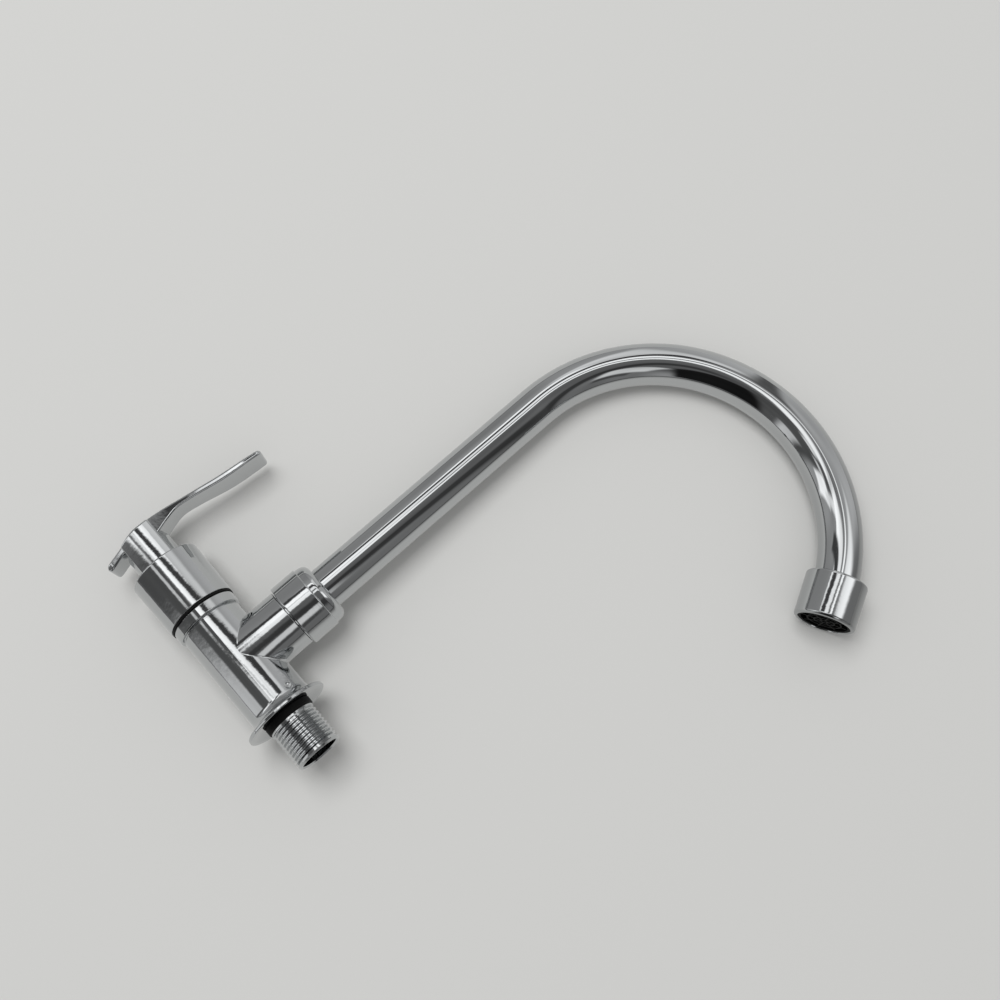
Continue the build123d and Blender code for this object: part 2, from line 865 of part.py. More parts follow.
def spout_path():
    """Centre line of the gooseneck: riser, bend and a short straight end."""
    foot = (0, -branch_offset, tube_foot_z)
    bend_start = (0, -branch_offset, bend_height)
    riser = Line(foot, bend_start)
    half = radians(bend_angle / 2)
    middle = (
        0,
        -branch_offset + bend_radius * (1 - cos(half)),
        bend_height + bend_radius * sin(half),
    )
    bend_end = outlet.origin
    bend = ThreePointArc(bend_start, middle, bend_end)
    straight = Line(bend_end, bend_end + outlet.z_dir * tube_end_straight)
    return Wire([*riser.edges(), *bend.edges(), *straight.edges()])


def spout_tube():
    """Bent gooseneck tube, open at both ends."""
    path = spout_path()
    section = Plane(origin=(0, -branch_offset, tube_foot_z)) * (
        Circle(tube_radius) - Circle(tube_radius - tube_wall)
    )
    return sweep(section, path=path)


def tube_end_bush():
    """Threaded bush brazed over the tube's outlet end."""
    return at_outlet(
        (tube_radius + braze_gap, bush_start),
        (bush_radius, bush_start, 0.4),
        (bush_radius, bush_end, 0.4),
        (bush_stop_bore, bush_end),
        (bush_stop_bore, tube_end_straight + seated_gap),
        (tube_radius + braze_gap, tube_end_straight + seated_gap),
    )


def aerator_shell():
    """Chrome housing that screws over the bush and holds the insert."""
    top_bore = tube_radius + shell_top_clearance
    inner_thread = bush_radius + thread_clearance
    insert_bore = aerator_radius + seated_gap
    return at_outlet(
        (top_bore, shell_start),
        (shell_top_radius, shell_start, shell_top_rounding),
        (shell_mouth_radius, mouth, shell_mouth_rounding),
        (shell_mouth_opening, mouth),
        (insert_bore, mouth - shell_mouth_lead),
        (insert_bore, core_s - 0.1),
        (inner_thread, core_s - 0.3),
        (inner_thread, shell_start + shell_top_wall),
        (top_bore, shell_start + shell_top_wall),
    )


def aerator_washer():
    """Flat rubber washer between the bush and the aerator's insert."""
    outer = bush_radius - loose_clearance
    return at_outlet(*band(bush_stop_bore - 0.4, outer, washer_s, diffuser_s - seated_gap))


def hole_circle(count, radius, hole, depth):
    """Evenly spaced pins on a circle, about the outlet axis."""
    return [pin for pin in PolarLocations(radius, count) * Cylinder(hole, depth)]


def flow_diffuser():
    """Perforated plastic plate that splits the water into jets."""
    plate = at_outlet(*band(0, bush_radius - loose_clearance, diffuser_s, core_s - seated_gap))
    pins = []
    for ring, count in ((3.0, 8), (5.0, 14), (7.0, 20)):
        pins += [
            outlet * Pos(0, 0, diffuser_s) * pin
            for pin in hole_circle(count, ring, diffuser_hole_radius, 3 * diffuser_thickness)
        ]
    return plate - pins


def screen_radius():
    """Radius of the gauze discs, inside the insert's wall."""
    return aerator_radius - core_wall - 0.1


def aerator_screens():
    """Stack of gauze discs, each drawn as a coarse perforated disc."""
    radius = screen_radius()
    reach = radius - 2 * screen_hole_radius
    rows = int(reach / screen_hole_pitch)
    holes = []
    for row in range(-rows, rows + 1):
        for column in range(-rows, rows + 1):
            x = row * screen_hole_pitch
            y = column * screen_hole_pitch
            if sqrt(x * x + y * y) < reach:
                holes.append(Pos(x, y, 0) * Cylinder(screen_hole_radius, 3 * screen_thickness))
    disc = Cylinder(radius, screen_thickness) - holes
    last = grid_s - face_gap - screen_thickness / 2
    return Compound([outlet * Pos(0, 0, last - i * screen_spacing) * disc for i in range(screen_count)])


def aerator_core():
    """Black insert: a cup wall with a grid of rings and spokes at its mouth."""
    outer = aerator_radius
    inner = outer - core_wall
    core = at_outlet(*band(inner, outer, core_s, core_end))
    pitch = inner / (grid_rings + 0.5)
    for i in range(grid_rings):
        middle = pitch * (i + 0.5)
        core += at_outlet(*band(middle - grid_bar / 2, middle + grid_bar / 2, grid_s, core_end - 0.3))
    for i in range(grid_spokes):
        spoke_length = inner - 0.5 * pitch + 0.4
        spoke = Pos(0.5 * pitch + spoke_length / 2, 0, 0) * Box(spoke_length, grid_bar, grid_depth - 0.6)
        core += outlet * Pos(0, 0, grid_s + grid_depth / 2) * Rot(0, 0, 360 * i / grid_spokes) * spoke
    return core


pieces = [
    body_casting,
    inlet_washer,
    sleeve_gasket,
    bonnet_sleeve,
    cartridge_body,
    cartridge_washer,
    seat_seal,
    lower_ceramic_disc,
    spout_nut,
    lower_slip_ring,
    upper_slip_ring,
    spindle,
    spindle_o_rings,
    spindle_slip_washer,
    spindle_clip,
    upper_ceramic_disc,
    lever_handle,
    handle_screw,
    index_plug,
    spout_tube,
    spout_collar,
    spout_o_rings,
    tube_end_bush,
    aerator_shell,
    aerator_washer,
    flow_diffuser,
    aerator_screens,
    aerator_core,
]

os.makedirs("parts", exist_ok=True)
for piece in pieces:
    export_step(piece(), f"parts/{piece.__name__}.step")
    print(piece.__name__)
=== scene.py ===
# %% [markdown]
# # A cold water kitchen tap, dressed for its photograph
#
# The CAD model holds the tap's pieces at their real size: a cast body with its inlet thread, a
# quarter-turn cartridge, a lever, and a gooseneck spout that swivels under a round nut. This
# lesson gives them their looks. What shows is nearly all chrome, and chrome has no colour of its
# own: it shows the room, stretched along every bend. So the work is in two halves. The chromed
# shells are made again as smooth surfaces, because a mirror shows every facet. Then the room is
# built with care, because it is the picture that the mirror holds.
#
# The tap's own lengths are millimetres until a mesh is made. Blender's unit is the metre, and
# the camera, the table, the room and the lamp are given in it.

# %% Load the frame
import bmesh
import bpy
import json
import numpy as np
from mathutils import Matrix, Vector


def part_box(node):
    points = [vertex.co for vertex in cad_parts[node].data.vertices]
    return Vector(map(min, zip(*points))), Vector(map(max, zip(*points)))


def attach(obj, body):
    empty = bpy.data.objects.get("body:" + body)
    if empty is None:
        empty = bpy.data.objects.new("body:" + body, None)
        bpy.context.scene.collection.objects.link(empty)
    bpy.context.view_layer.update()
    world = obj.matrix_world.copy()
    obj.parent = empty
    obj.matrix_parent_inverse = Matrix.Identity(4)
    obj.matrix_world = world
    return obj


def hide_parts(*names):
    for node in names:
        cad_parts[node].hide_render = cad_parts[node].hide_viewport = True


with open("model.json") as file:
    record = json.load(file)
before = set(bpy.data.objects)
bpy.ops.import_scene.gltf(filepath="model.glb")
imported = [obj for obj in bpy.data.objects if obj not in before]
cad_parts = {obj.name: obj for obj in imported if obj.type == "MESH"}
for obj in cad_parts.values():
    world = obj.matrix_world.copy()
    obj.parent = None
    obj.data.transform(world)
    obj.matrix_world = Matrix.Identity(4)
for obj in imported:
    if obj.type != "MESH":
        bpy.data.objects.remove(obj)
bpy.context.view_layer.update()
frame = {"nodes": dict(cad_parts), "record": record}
scene = bpy.context.scene
scene.view_settings.view_transform = "Standard"
mm = 0.001

# %% [markdown]
# ## The camera
#
# The photograph looks down on a tap that lies on its side. The camera stands 46 cm above it and
# is a little turned. Its place and turn were fitted to the round edges and straight axes that
# show in the photograph, and they are given here as a place and the directions of the picture's
# right, down and depth in the tap's own frame.

# %% Camera
camera_place = Vector((0.46368, 0.09796, 0.04162))
picture_right = Vector((-0.01751667, 0.67161241, 0.74069558))
picture_down = Vector((-0.28466884, 0.70679934, -0.64760972))
picture_depth = Vector((-0.95846587, -0.22219692, 0.17880635))
focal_pixels = 1098.7417
picture_pixels = 1000
sensor_width = 36.0

camera_data = bpy.data.cameras.new("camera")
camera_data.sensor_width = sensor_width
camera_data.lens = camera_data.sensor_width * focal_pixels / picture_pixels
camera_data.clip_start = 0.01
camera = bpy.data.objects.new("camera", camera_data)
scene.collection.objects.link(camera)
camera_turn = Matrix((picture_right, -picture_down, -picture_depth)).transposed()
camera.matrix_world = Matrix.Translation(camera_place) @ camera_turn.to_4x4()
scene.camera = camera
print("lens:", round(camera_data.lens, 2), "mm")

# %% [markdown]
# ## Outlines with real edges
#
# A polished edge is never sharp. It is a small arc, and on chrome that arc is a bright line, so
# each corner of an outline gets its own radius. An arc alone would bend the shading of the flat
# beside it, so a support point stands close to each of its ends. A bevel modifier could round
# the edges too, but an outline with arcs gives every edge the radius that the real one has.

# %% Outline
support_reach = 0.15
support_limit = 0.3


def rounded(corners, steps=6):
    """Closed outline through (radius, station, rounding) corners.

    A corner becomes an arc that touches both of its sides: the arc's centre lies on the corner's
    bisector, at rounding / sin(half the corner's angle) from the corner. A support point stands
    past each end of the arc, at the reach or at a share of what is left of the side.
    """
    corners = np.array(corners, float)
    point, radius = corners[:, :2], corners[:, 2]
    back = np.roll(point, 1, axis=0) - point
    ahead = np.roll(point, -1, axis=0) - point
    side = np.linalg.norm(ahead, axis=1)
    back /= np.linalg.norm(back, axis=1)[:, None]
    ahead /= side[:, None]
    half = np.arccos(np.clip((back * ahead).sum(axis=1), -1, 1)) / 2
    setback = radius / np.tan(half)
    free = side - setback - np.roll(setback, -1)
    spare_ahead = np.minimum(support_reach, support_limit * free)
    spare_back = np.roll(spare_ahead, 1)
    bisector = back + ahead
    bisector /= np.linalg.norm(bisector, axis=1)[:, None]
    centre = point + bisector * (radius / np.sin(half))[:, None]
    start = point + back * setback[:, None] - centre
    end = point + ahead * setback[:, None] - centre
    sweep = (np.pi - 2 * half)[:, None, None]
    share = np.linspace(0, 1, steps + 1)[None, :, None]
    arc = np.sin((1 - share) * sweep) * start[:, None] + np.sin(share * sweep) * end[:, None]
    arc = arc / np.sin(sweep) + centre[:, None]
    first = point + back * (setback + spare_back)[:, None]
    last = point + ahead * (setback + spare_ahead)[:, None]
    return np.concatenate([first[:, None], arc, last[:, None]], axis=1).reshape(-1, 2)


def finer(outline, longest):
    """The same closed outline, with points added along it at every multiple of a length."""
    closed = np.vstack([outline, outline[:1]])
    length = np.append(0, np.cumsum(np.linalg.norm(np.diff(closed, axis=0), axis=1)))
    at = np.union1d(length[:-1], np.arange(0, length[-1], longest))
    return np.column_stack([np.interp(at, length, column) for column in closed.T])


square = rounded([(10, 0, 1), (10, 10, 1), (0, 10, 1), (0, 0, 1)])
print("a square's outline:", len(square), "points, or", len(finer(square, 0.5)), "when made finer")

# %% [markdown]
# ## A skin from a grid
#
# Every new piece is one or more grids of points. A grid always closes round its columns. Its
# rows either close too, as a ring's outline does, or end in a point or a line that is merged.
# The signed volume of the closed surface says whether its faces point out, and if it is
# negative the faces are turned round. A new piece stands for one node of the CAD model, so it
# takes that node's body and material slot from the record.

# %% Slots and bodies of the nodes
slot_of = {part["node"]: part["material_slot"] for part in frame["record"]["subparts"]}
body_of = {
    node: body for body, nodes in frame["record"]["behaviour"]["bodies"].items() for node in nodes
}
dressed = {}
print("material slots:", ", ".join(sorted(set(slot_of.values()))))


# %% Faces of a grid
def grid_faces(rows, columns, ring):
    """Quads between neighbouring rows and columns, closed round the columns.

    A quad's corners are a point, the one to its right, and the two after them in the next row.
    """
    index = np.arange(rows * columns).reshape(rows, columns)
    right = np.roll(index, -1, axis=1)
    below, below_right = np.roll(index, -1, axis=0), np.roll(right, -1, axis=0)
    quads = np.stack([index, right, below_right, below], axis=-1)
    return (quads if ring else quads[:-1]).reshape(-1, 4)


def outward(points, faces):
    """The faces, turned round if the volume that they close comes out negative.

    The volume is the sum, over both triangles of each quad, of their cross product times a
    corner, divided by six.
    """
    corner = points[faces]
    first = np.cross(corner[:, 1] - corner[:, 0], corner[:, 2] - corner[:, 0])
    second = np.cross(corner[:, 2] - corner[:, 0], corner[:, 3] - corner[:, 0])
    volume = ((first + second) * corner[:, 0]).sum() / 6
    return faces if volume > 0 else faces[:, ::-1]


print("a ring of 4 rows and 8 columns has", len(grid_faces(4, 8, True)), "faces")

# %% Skin
merge_distance = 0.5e-6


def skin(name, grids, node, ring=True, straight=None):
    """A smooth piece from grids in millimetres, in the place of a node and on its body.

    Points that fall together at a pole are merged. If the straightened place of each point is
    given, the piece keeps it as an attribute for its material.
    """
    points, faces, count = [], [], 0
    for grid in grids:
        rows, columns = grid.shape[:2]
        flat = grid.reshape(-1, 3) * mm
        points.append(flat)
        faces.append(outward(flat, grid_faces(rows, columns, ring)) + count)
        count += len(flat)
    mesh = bpy.data.meshes.new(name)
    mesh.from_pydata(np.vstack(points), [], np.vstack(faces))
    if straight is not None:
        along = mesh.attributes.new("straight", "FLOAT_VECTOR", "POINT")
        along.data.foreach_set("vector", (straight.reshape(-1, 3) * mm).astype(np.float32).ravel())
    shell = bmesh.new()
    shell.from_mesh(mesh)
    bmesh.ops.remove_doubles(shell, verts=shell.verts, dist=merge_distance)
    open_edges = sum(not edge.is_manifold for edge in shell.edges)
    shell.to_mesh(mesh)
    shell.free()
    mesh.polygons.foreach_set("use_smooth", np.ones(len(mesh.polygons), bool))
    piece = bpy.data.objects.new(name, mesh)
    scene.collection.objects.link(piece)
    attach(piece, body_of[node])
    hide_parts(node)
    low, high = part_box(node)
    place = np.vstack(points)
    drift = max(np.abs(place.min(axis=0) - low).max(), np.abs(place.max(axis=0) - high).max()) / mm
    print(
        f"{name}: {len(mesh.polygons)} faces, {open_edges} open edges,",
        f"box {drift:.2f} mm off the node's",
    )
    return piece


# %% [markdown]
# ## Turned shells
#
# The sleeve over the cartridge and the nut on the branch are brass, turned and polished, with
# walls inside. A screw modifier could turn an outline, but a grid from one formula keeps the
# edges' support points and takes any axis, even a bent one. A line gives, for each station, a
# centre and two directions across it.


# %% Carry an outline round a line
def carry(outline, line, turns=128):
    """Grid of centre + radius * (cos(angle) * side + sin(angle) * up), one row to a point.

    The outline's points are (radius, station), and the line gives centre, side and up there.
    """
    angle = np.linspace(0, 2 * np.pi, turns, endpoint=False)[None, :, None]
    centre, side, up = line(outline[:, 1])
    across = np.cos(angle) * side[:, None] + np.sin(angle) * up[:, None]
    return centre[:, None] + outline[:, 0][:, None, None] * across


def straight_line(origin, along, side):
    """A line for carry: centre = origin + station * along."""
    along, side = np.array(along, float), np.array(side, float)
    up = np.cross(along, side)

    def line(station):
        centre = np.array(origin) + station[:, None] * along
        return centre, np.broadcast_to(side, centre.shape), np.broadcast_to(up, centre.shape)

    return line


branch_offset = 30.9
inlet_axis = straight_line((0, 0, 0), (0, 1, 0), (0, 0, 1))
branch_axis = straight_line((0, -branch_offset, 0), (0, 0, 1), (1, 0, 0))
print("the branch stands", branch_offset, "mm in front of the wall's face")

# %% Bonnet sleeve
sleeve_base_y = -58.43
sleeve_end_y = -84.6
sleeve_base_radius = 15.6
sleeve_end_radius = 16.05
sleeve_bore = 14.2
sleeve_opening = 11.0
sleeve_neck_radius = 9.05
sleeve_end_wall = 2.4
sleeve_web_near, sleeve_web_far = 4.0, 9.0
sleeve = rounded([
    (sleeve_base_radius, sleeve_base_y, 0.3),
    (sleeve_end_radius, sleeve_end_y, 0.7),
    (sleeve_opening, sleeve_end_y, 0.5),
    (sleeve_opening, sleeve_end_y + sleeve_end_wall, 0.2),
    (sleeve_bore, sleeve_end_y + sleeve_end_wall, 0.2),
    (sleeve_bore, sleeve_base_y - sleeve_web_far, 0.2),
    (sleeve_neck_radius, sleeve_base_y - sleeve_web_far, 0.2),
    (sleeve_neck_radius, sleeve_base_y - sleeve_web_near, 0.2),
    (sleeve_bore, sleeve_base_y - sleeve_web_near, 0.2),
    (sleeve_bore, sleeve_base_y, 0.2),
])
dressed["bonnet_sleeve"] = skin(
    "polished_bonnet_sleeve", [carry(sleeve, inlet_axis)], "bonnet_sleeve"
)

# %% Spout nut
nut_radius = 15.0
nut_foot_z = 27.9
nut_step_z = 40.6
nut_top_z = 46.0
nut_dome_radius = 14.4
nut_dome_top_radius = 13.8
nut_bore = 12.45
nut_lip_z = 40.17
nut_chamfer = 1.4
nut_clearance = 0.3
nut_lead_in = 0.6
tube_radius = 9.5
nut = rounded([
    (nut_bore + nut_chamfer, nut_foot_z, 0.2),
    (nut_radius, nut_foot_z, 0.5),
    (nut_radius, nut_step_z, 0.4),
    (nut_dome_radius, nut_step_z, 0.15),
    (nut_dome_top_radius, nut_top_z, 3.4),
    (tube_radius + nut_clearance + nut_lead_in, nut_top_z, 0.15),
    (tube_radius + nut_clearance, nut_top_z - nut_lead_in, 0.1),
    (tube_radius + nut_clearance, nut_lip_z, 0.1),
    (nut_bore, nut_lip_z, 0.1),
    (nut_bore, nut_foot_z + nut_chamfer, 0.1),
])
dressed["spout_nut"] = skin("polished_spout_nut", [carry(nut, branch_axis)], "spout_nut")

# %% [markdown]
# ## The gooseneck
#
# The spout is one drawn brass tube, bent on a former and then polished and plated. A curve with
# a bevel would do, but the grid also keeps the straightened place of each point: how far it is
# along the tube, and where round it. The plating's marks follow the draw, so they need that.

# %% Spout tube
tube_wall = 1.0
tube_foot_z = 32.15
bend_height = 169.9
bend_radius = 78.3
bend_angle = np.radians(153.7)
tube_end_straight = 4.5
tube_row_length = 2.0
tube_turns = 96
riser_length = bend_height - tube_foot_z
tube_length = riser_length + bend_radius * bend_angle + tube_end_straight


def gooseneck(station):
    """Centre line: a riser, an arc of one radius, and a short straight end.

    The arc's turn is (station - riser) / radius, held between nought and the full bend.
    """
    turned_by = np.clip((station - riser_length) / bend_radius, 0, bend_angle)
    beyond = np.maximum(station - riser_length - bend_radius * bend_angle, 0)
    before = np.minimum(station, riser_length)
    y = -branch_offset + bend_radius * (1 - np.cos(turned_by)) + beyond * np.sin(turned_by)
    z = tube_foot_z + before + bend_radius * np.sin(turned_by) + beyond * np.cos(turned_by)
    nought = np.zeros_like(y)
    centre = np.column_stack([nought, y, z])
    side = np.column_stack([nought + 1, nought, nought])
    up = np.column_stack([nought, np.cos(turned_by), -np.sin(turned_by)])
    return centre, side, up


tube_outline = finer(rounded([
    (tube_radius, 0, 0.2),
    (tube_radius, tube_length, 0.2),
    (tube_radius - tube_wall, tube_length, 0.2),
    (tube_radius - tube_wall, 0, 0.2),
]), tube_row_length)
round_angle = np.linspace(0, 2 * np.pi, tube_turns, endpoint=False)
straightened = np.stack([
    np.broadcast_to(tube_outline[:, 1][:, None], (len(tube_outline), tube_turns)),
    tube_outline[:, 0][:, None] * np.cos(round_angle),
    tube_outline[:, 0][:, None] * np.sin(round_angle),
], axis=-1)
tube_grid = carry(tube_outline, gooseneck, tube_turns)
dressed["spout_tube"] = skin("drawn_spout_tube", [tube_grid], "spout_tube", straight=straightened)
print("tube length:", round(tube_length, 1), "mm")

# %% [markdown]
# ## The outlet's shell
#
# A short, round shell is screwed on the tube's end and holds the black insert that breaks up
# the water. It could be a cylinder with a bevel, but its mouth is what the eye looks for: a wide
# outer edge, a thin lip, and a step inside where the insert lies. So it is turned from an
# outline as the sleeve is, round the line on which the bend ends.

# %% Outlet shell
outlet_y = -branch_offset + bend_radius * (1 - np.cos(bend_angle))
outlet_z = bend_height + bend_radius * np.sin(bend_angle)
outlet_axis = straight_line(
    (0, outlet_y, outlet_z), (0, np.sin(bend_angle), np.cos(bend_angle)), (1, 0, 0)
)
shell_top = -6.8
shell_mouth = 13.4
shell_top_radius = 13.2
shell_mouth_radius = 13.0
shell_opening = 11.35
insert_bore = 11.13
bush_bore = 10.95
insert_station = 8.52
shell_clearance = 0.5
shell_top_wall = 1.2
shell_mouth_chamfer = 0.4
shell_seat_chamfer = 0.2
shell = rounded([
    (tube_radius + shell_clearance, shell_top, 0.25),
    (shell_top_radius, shell_top, 1.0),
    (shell_mouth_radius, shell_mouth, 1.3),
    (shell_opening, shell_mouth, 0.25),
    (insert_bore, shell_mouth - shell_mouth_chamfer, 0.1),
    (insert_bore, insert_station, 0.05),
    (bush_bore, insert_station - shell_seat_chamfer, 0.05),
    (bush_bore, shell_top + shell_top_wall, 0.1),
    (tube_radius + shell_clearance, shell_top + shell_top_wall, 0.1),
])
dressed["aerator_shell"] = skin(
    "polished_outlet_shell", [carry(shell, outlet_axis)], "aerator_shell"
)

# %% [markdown]
# ## The lever
#
# The lever is one zinc casting: a round boss that enters the sleeve, a block with two flats over
# it, and a bow that runs over the block from a short tail to a long, thin blade. Three closed
# surfaces that pass into each other keep each polished face clean. A boolean would join them,
# but it leaves long thin faces along the seam, and on chrome those show as dents. The bow is a
# section that changes along its height: a slab with rounded edges, whose sides lean a little
# where the casting has draft. On chrome that lean decides whether a side is white or black.


# %% Lines through points
def smooth_line(points, at):
    """Curve through (height, value) points.

    Each two points are joined by a cubic, whose slope at a point is that of the line from the
    point before it to the point after it.
    """
    height, value = np.array(points, float).T
    slope = np.gradient(value, height)
    slope[1:-1] = (value[2:] - value[:-2]) / (height[2:] - height[:-2])
    i = np.clip(np.searchsorted(height, at) - 1, 0, len(height) - 2)
    gap = height[i + 1] - height[i]
    t = np.clip((at - height[i]) / gap, 0, 1)
    start = (2 * t ** 3 - 3 * t ** 2 + 1) * value[i] + (t ** 3 - 2 * t ** 2 + t) * gap * slope[i]
    end = (3 * t ** 2 - 2 * t ** 3) * value[i + 1] + (t ** 3 - t ** 2) * gap * slope[i + 1]
    return start + end


print("a curve through 0, 1 and 0 at a quarter:", smooth_line([(0, 0), (1, 1), (2, 0)], 0.5))

# %% Lines of the bow
# Each point is a height z and a value there. The outer and inner lines are measured in y from
# the end of the block.
hub_end_y = -105.9
bow_outer = [
    (-17.8, 5.8), (-8.7, 3.3), (1.6, 0.1), (14.1, 0.6), (26.6, 2.9), (43.5, 6.1), (62.7, 8.5),
]
bow_inner = [
    (-16.9, 9.0), (-8.1, 6.6), (0.0, 7.6), (5.5, 9.4), (8.1, 8.7),
    (14.1, 6.7), (20.6, 5.3), (28.6, 6.2), (44.7, 9.3), (62.7, 10.9),
]
bow_half_width = [
    (-18.2, 6.35), (-4.0, 6.8), (8.0, 6.15), (19.1, 6.0), (39.6, 7.2), (54.3, 7.9), (63.9, 7.6),
]
bow_draft = [(-18.2, 0.0), (-8.0, 0.0), (0.0, 0.105), (24.0, 0.105), (34.0, 0.0), (63.9, 0.0)]
# The height of each end, how far its nose rounds over, and the radius of its corners.
tip_z, tip_nose, tip_corner = 63.9, 1.2, 2.2
tail_z, tail_nose, tail_corner, tail_cut = -18.2, 1.3, 4.0, 1.0
outer_edge = 1.0
inner_edge = 0.9
thickness = smooth_line(bow_inner, 40.0) - smooth_line(bow_outer, 40.0)
print("bow:", tip_z - tail_z, "mm from tail to tip,", round(thickness, 1), "mm thick at mid blade")

# %% Bow: blade and tail
bow_rows = 120
nose_rows = 9
side_points = np.array([0.98, 0.7, 0.35, 0, -0.35, -0.7, -0.98])
fullest_edge = 0.98


def slab_section(half_width, half_depth, edge_out, edge_in, steps=6):
    """Rows of points round a slab with rounded edges: corner centre + edge * (cos, sin)."""
    quarter = np.linspace(0, np.pi / 2, steps + 1)
    column = []
    for corner in range(4):
        across = (1, -1, -1, 1)[corner]
        deep = (1, 1, -1, -1)[corner]
        edge = np.minimum(edge_in if deep > 0 else edge_out, fullest_edge * half_depth)
        angle = quarter + corner * np.pi / 2
        reach_x, reach_y = half_width - edge, half_depth - edge
        column.append(np.stack([
            across * reach_x[:, None] + edge[:, None] * np.cos(angle),
            deep * reach_y[:, None] + edge[:, None] * np.sin(angle),
        ], axis=-1))
        if corner in (0, 2):
            x = across * reach_x[:, None] * side_points
            y = deep * half_depth[:, None]
        else:
            y = deep * reach_y[:, None] * side_points[[0, 3, 6]]
            x = across * half_width[:, None]
        column.append(np.stack(np.broadcast_arrays(x, y), axis=-1))
    return np.concatenate(column, axis=1)


def bow_grid():
    """Sections of the bow at rising heights; its two noses close as quarter circles.

    The width's corners at tip and tail are quarter circles too. The sides lean by the casting's
    draft: x grows by x * draft * depth / half width.
    """
    nose = np.sin(np.linspace(0, np.pi / 2, nose_rows))
    height = np.unique(np.concatenate([
        tail_z + tail_nose * (1 - nose),
        np.linspace(tail_z + tail_nose, tip_z - tip_nose, bow_rows),
        tip_z - tip_corner * (1 - nose),
        tip_z - tip_nose * (1 - nose),
    ]))
    inside = np.clip(height, tail_z + tail_nose, tip_z - tip_nose)
    outer, inner = smooth_line(bow_outer, inside), smooth_line(bow_inner, inside)
    past = np.maximum((height - inside) / tip_nose, (inside - height) / tail_nose)
    half_depth = (inner - outer) / 2 * np.sqrt(np.maximum(1 - past ** 2, 0))
    width = smooth_line(bow_half_width, height)
    near_tip = np.clip(height - tip_z + tip_corner, 0, tip_corner)
    near_tail = np.clip(tail_z - tail_cut + tail_corner - height, 0, tail_corner)
    width = width - tip_corner + np.sqrt(tip_corner ** 2 - near_tip ** 2)
    width = width - tail_corner + np.sqrt(tail_corner ** 2 - near_tail ** 2)
    section = slab_section(width, half_depth, outer_edge, inner_edge)
    draft = smooth_line(bow_draft, height) / np.maximum(width, 1)
    drafted = section[..., 0] * (1 + draft[:, None] * section[..., 1])
    y = hub_end_y + ((outer + inner) / 2)[:, None] + section[..., 1]
    z = np.broadcast_to(height[:, None], y.shape)
    return np.stack([drafted, y, z], axis=-1)


print("bow:", bow_grid().shape[0], "sections of", bow_grid().shape[1], "points")

# %% Hub and boss
hub_start_y = -85.2
hub_half_width = 8.1
hub_half_height = 10.3
hub_corner = 8.25
hub_edge = 0.8
hub_step = 0.8
hub_end_edge = 0.7
hub_crown_radius = 30.0
hub_slope = 0.34
hub_slope_start = 2.4
hub_rim_rows = 10
hub_rim_support = 1.0
hub_end_rows = 9
hub_start_edge = 0.3
hub_wall_near_end = np.array([0.1, 2.0, 4.0])
hub_wall_near_start = np.array([6.0, 0.6, 0.4])
boss_radius = 10.2
boss_start_y = -82.2
boss_end_y = -97.6


def hub_grid():
    """The block: its section shrinks to a point over each end, where its edge turns by an arc.

    End = crown + slope, joined as the root of their squares. Near the rim, at a distance d from
    it, the edge adds edge * (1 - sqrt(1 - (1 - d / edge) squared)). The walls' rows stand close
    to both ends, so that the arcs don't bend the shading between them.
    """
    flat = finer(rounded([
        (hub_corner, -hub_half_width, hub_edge), (hub_corner, hub_half_width, hub_edge),
        (-hub_corner, hub_half_width, hub_edge), (-hub_corner, -hub_half_width, hub_edge),
    ]), hub_step)
    bulge = (hub_half_height / hub_corner - 1) * (1 - (flat[:, 1] / hub_half_width) ** 2)
    section = flat * np.column_stack([1 + bulge, np.ones(len(flat))])
    rim = hub_end_edge * (1 - np.cos(np.linspace(0, np.pi / 2, hub_rim_rows)))
    reach = np.linalg.norm(section, axis=1)
    depth = np.append(rim, hub_rim_support)
    scale = 1 - depth[:, None] / reach
    middle = np.linspace(scale[-1], 0 * reach, hub_end_rows)[1:]
    scale = np.vstack([scale, middle])
    inset = (1 - scale) * reach
    x, z = scale * section[:, 0], scale * section[:, 1]
    crown = hub_crown_radius - np.sqrt(hub_crown_radius ** 2 - x ** 2)
    slope = hub_slope * np.maximum(hub_slope_start - z, 0)
    turn_in = np.clip(1 - inset / hub_end_edge, 0, 1)
    y = hub_end_y + np.hypot(crown, slope) + hub_end_edge * (1 - np.sqrt(1 - turn_in ** 2))
    end = np.stack([x, y, z], axis=-1)
    walls = np.repeat(end[:1], 6, axis=0)
    walls[:3, :, 1] = end[0, :, 1] + hub_wall_near_end[:, None]
    walls[3:, :, 1] = hub_start_y - hub_wall_near_start[:, None]
    start = end.copy()
    start[:, :, 1] = hub_start_y - hub_start_edge * np.clip(1 - inset / hub_start_edge, 0, 1)
    return np.vstack([end[::-1], walls, start])


boss_bore = 1.0
boss = rounded([
    (boss_bore, boss_start_y, 0.3), (boss_radius, boss_start_y, 0.4),
    (boss_radius, boss_end_y, 1.2), (boss_bore, boss_end_y, 0.3),
])
boss_grid = carry(boss, inlet_axis)
boss_solid = np.concatenate([boss_grid, boss_grid[:1]], axis=0)
dressed["lever_handle"] = skin(
    "cast_lever", [bow_grid(), hub_grid(), boss_solid], "lever_handle", ring=False
)

# %% [markdown]
# ## The cap in the lever
#
# A small plastic cap covers the screw that holds the lever, and its colour tells cold water from
# hot. A flat disc would do from afar, but the bow's face is curved, so the cap takes its height
# from the bow's own line and stands a hair proud of it. Its rim falls off in a steep curve,
# which leaves a fine round line about it.

# %% Index plug
plug_radius = 4.6
plug_depth = 2.2
plug_proud = 0.1
plug_rim_power = 12
plug_rings, plug_turns = 14, 96


